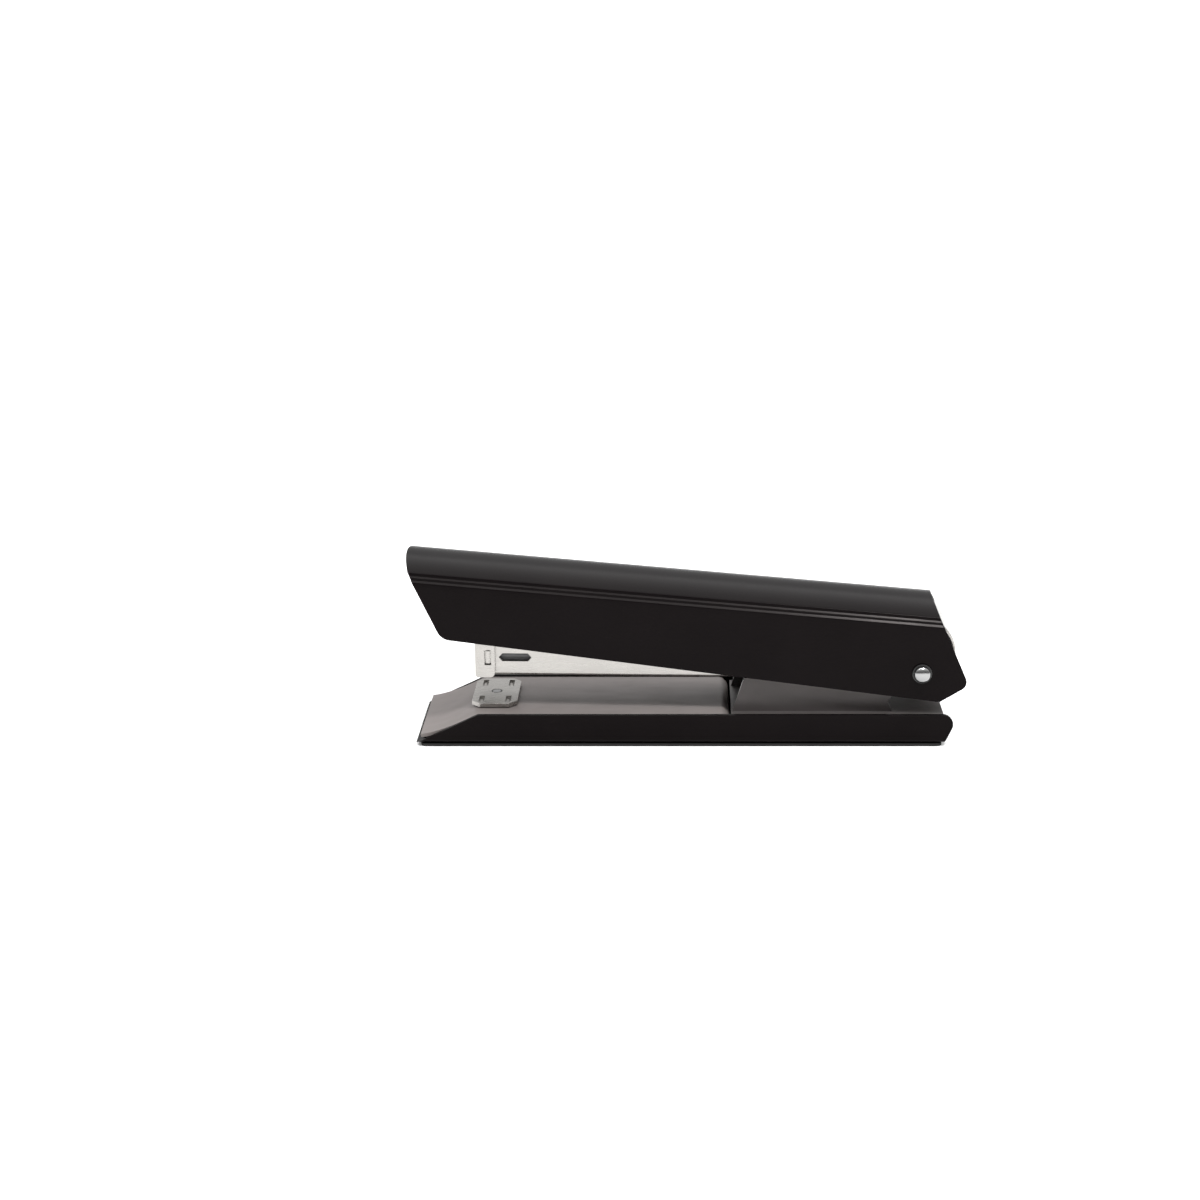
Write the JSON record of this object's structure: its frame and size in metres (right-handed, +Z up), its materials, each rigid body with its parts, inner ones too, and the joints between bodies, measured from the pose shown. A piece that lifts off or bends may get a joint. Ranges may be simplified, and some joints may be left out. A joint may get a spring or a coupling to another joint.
{
  "type": "desktop stapler",
  "caption": "Desktop stapler: crowned black steel handle over a nickel magazine, hinged at the back of a tray base with a turning anvil.",
  "frame": {"origin": "middle of the footprint, on the surface that the stapler stands on", "axes": "+X from the nose towards the hinge, +Y across the width, +Z up"},
  "size_m": [0.1528, 0.034, 0.0514],
  "materials": {
    "black_paint": "satin black",
    "grey_paint": "satin grey",
    "dark_steel": "dark phosphated",
    "nickel": "satin nickel plate",
    "chrome": "polished",
    "spring_steel": "bright",
    "black_plastic": "matte",
    "rubber": "matte"
  },
  "bodies": {
    "base": {"base_pad": "rubber", "base_tray": "black_paint", "base_deck": "grey_paint", "hinge_bracket": "dark_steel", "bracket_rivet_front": "dark_steel", "bracket_rivet_rear": "dark_steel", "return_spring": "spring_steel", "hinge_pin": "chrome", "pin_cap": "chrome", "pin_washer_near": "black_plastic", "pin_washer_far": "black_plastic", "pin_spacer_near": "spring_steel", "pin_spacer_far": "spring_steel", "anvil_spring": "spring_steel"},
    "anvil_post": {"anvil_stem": "chrome"},
    "anvil": {"anvil_plate": "nickel"},
    "magazine": {"magazine_channel": "nickel", "front_guide": "nickel", "inner_rail": "dark_steel", "guide_rod": "chrome", "rod_stop": "spring_steel", "cross_pin": "chrome", "follower_spring": "spring_steel"},
    "pusher": {"follower": "black_plastic"},
    "handle": {"handle_cover": "black_paint", "handle_frame": "nickel", "handle_end_plate": "nickel", "driver_blade": "spring_steel", "handle_spring": "spring_steel", "driver_rivet": "chrome", "spring_rivet": "chrome"}
  },
  "joints": [
    {"name": "magazine_pivot", "type": "hinge", "parent": "base", "child": "magazine", "pos_m": [0.06425, 0, 0.0202], "axis": [0, 1, 0], "range_deg": [-3.1, 20], "stiffness_Nm_per_rad": 1.5, "springref_deg": 2.58, "deforming": ["return_spring"]},
    {"name": "handle_press", "type": "hinge", "parent": "magazine", "child": "handle", "pos_m": [0.06425, 0, 0.0202], "axis": [0, 1, 0], "range_deg": [-3.6, 32], "stiffness_Nm_per_rad": 1, "springref_deg": 2.58, "deforming": ["handle_spring"]},
    {"name": "follower_slide", "type": "slide", "parent": "magazine", "child": "pusher", "axis": [0.9999, 0, -0.0105], "range_m": [0, 0.08], "stiffness_N_per_m": 20, "springref_m": -0.03, "deforming": ["follower_spring"]},
    {"name": "anvil_lift", "type": "slide", "parent": "base", "child": "anvil_post", "axis": [0, 0, 1], "range_m": [0, 0.0015], "stiffness_N_per_m": 300, "springref_m": -0.002, "deforming": ["anvil_spring"]},
    {"name": "anvil_turn", "type": "hinge", "parent": "anvil_post", "child": "anvil", "pos_m": [-0.05285, 0, 0.0086], "axis": [0, 0, 1], "range_deg": [0, 180]}
  ]
}
